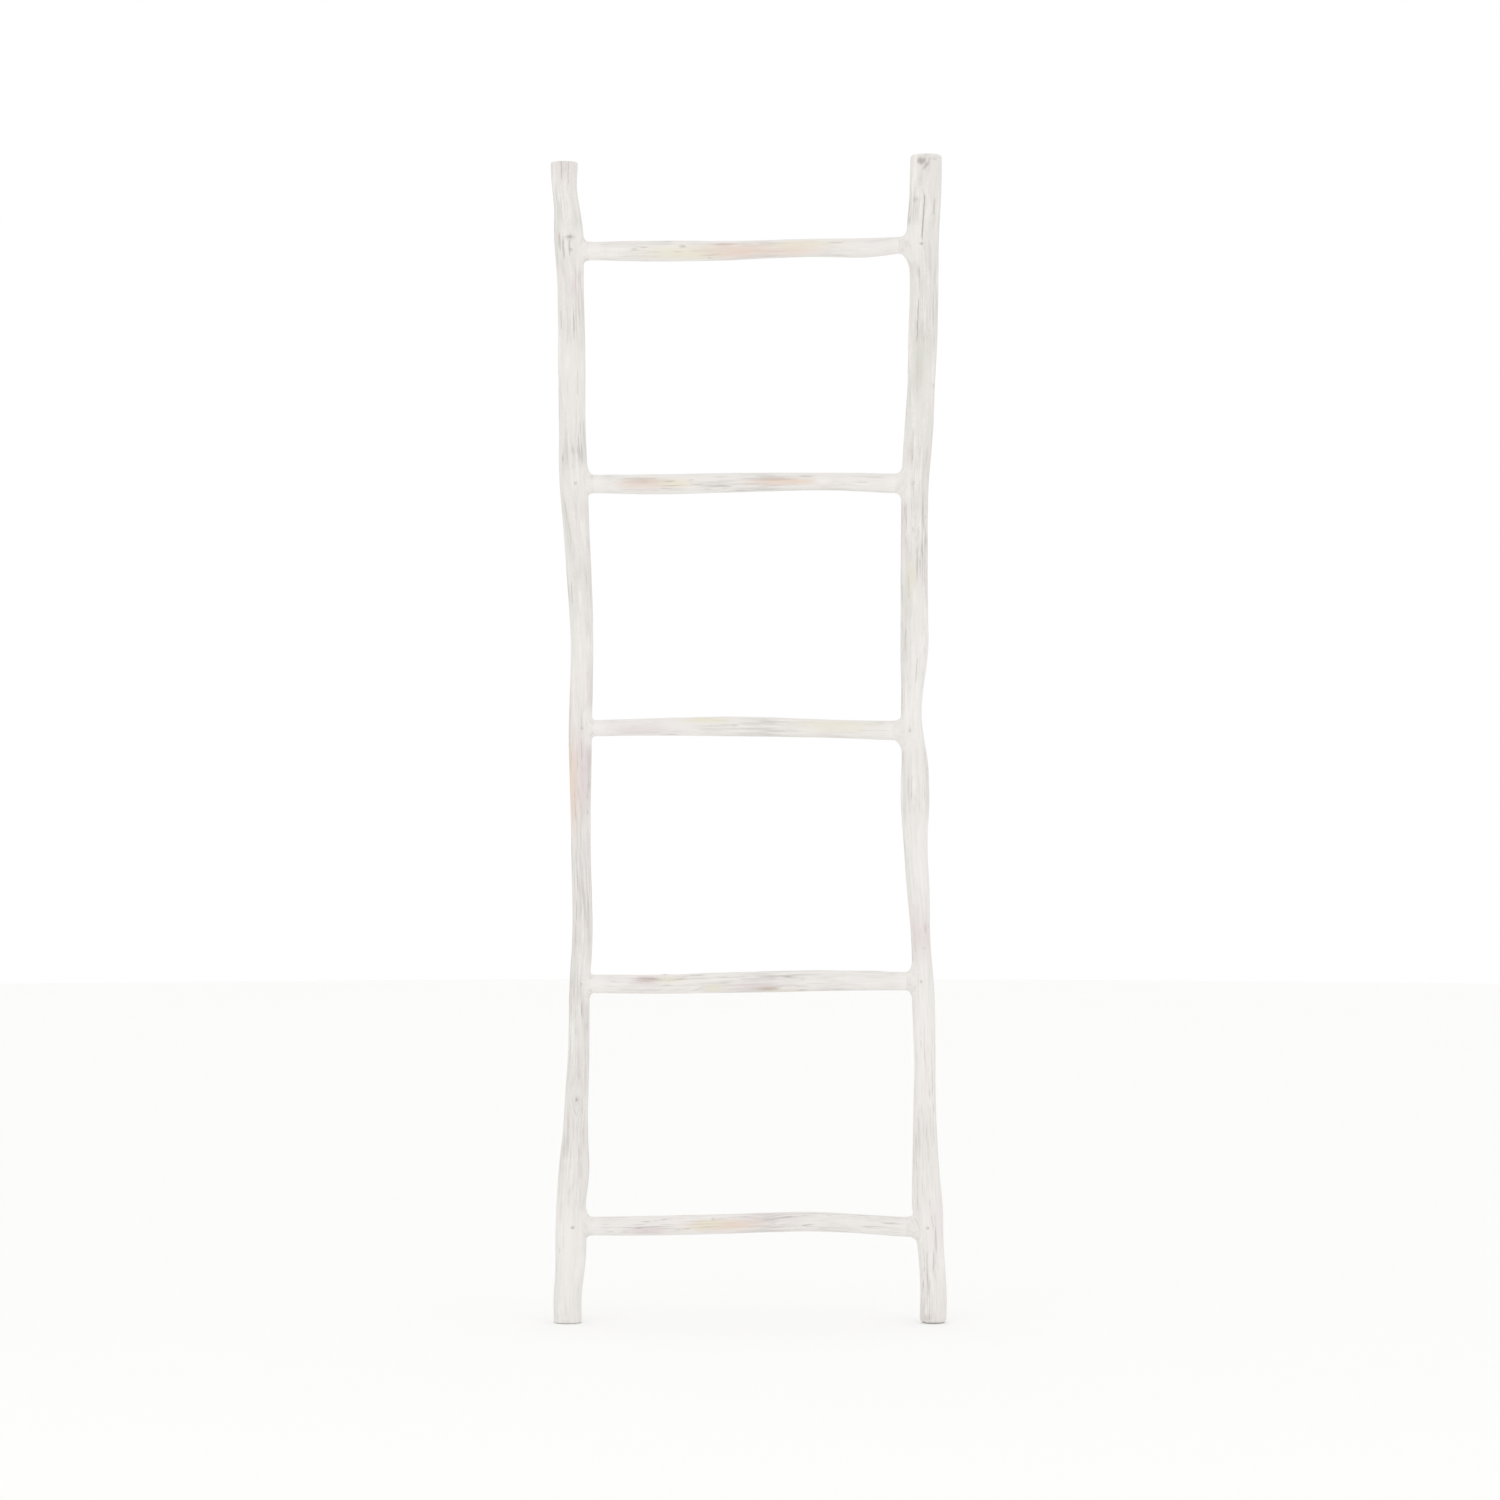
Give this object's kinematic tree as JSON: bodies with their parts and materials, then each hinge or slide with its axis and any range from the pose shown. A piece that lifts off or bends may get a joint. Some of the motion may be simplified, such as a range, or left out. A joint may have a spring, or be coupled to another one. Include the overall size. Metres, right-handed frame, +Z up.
{
  "type": "blanket ladder",
  "caption": "Leaning blanket ladder made of whitewashed branches, with tenoned branch rungs between its rails to hang blankets and throws on.",
  "frame": {"origin": "on the floor, midway between the feet of the rails", "axes": "+Z up along the rails, the front faces -Y, +X to the right as seen from the front"},
  "size_m": [0.5088, 0.0471, 1.5],
  "materials": {
    "rail_wood": "peeled branch, whitewashed, worn thin over the grain, matt",
    "rung_wood": "peeled branch, whitewashed thinner than the rails, matt",
    "nail_steel": "dull steel, touched with whitewash",
    "joint_filler": "wood filler, whitewashed, matt"
  },
  "bodies": {
    "root": {"left_rail": "rail_wood", "right_rail": "rail_wood", "bottom_rung": "rung_wood", "lower_rung": "rung_wood", "middle_rung": "rung_wood", "upper_rung": "rung_wood", "top_rung": "rung_wood", "bottom_rung_left_nail": "nail_steel", "bottom_rung_right_nail": "nail_steel", "lower_rung_left_nail": "nail_steel", "lower_rung_right_nail": "nail_steel", "middle_rung_left_nail": "nail_steel", "middle_rung_right_nail": "nail_steel", "upper_rung_left_nail": "nail_steel", "upper_rung_right_nail": "nail_steel", "top_rung_left_nail": "nail_steel", "top_rung_right_nail": "nail_steel", "bottom_rung_left_filler": "joint_filler", "bottom_rung_right_filler": "joint_filler", "lower_rung_left_filler": "joint_filler", "lower_rung_right_filler": "joint_filler", "middle_rung_left_filler": "joint_filler", "middle_rung_right_filler": "joint_filler", "upper_rung_left_filler": "joint_filler", "upper_rung_right_filler": "joint_filler", "top_rung_left_filler": "joint_filler", "top_rung_right_filler": "joint_filler"}
  },
  "joints": []
}
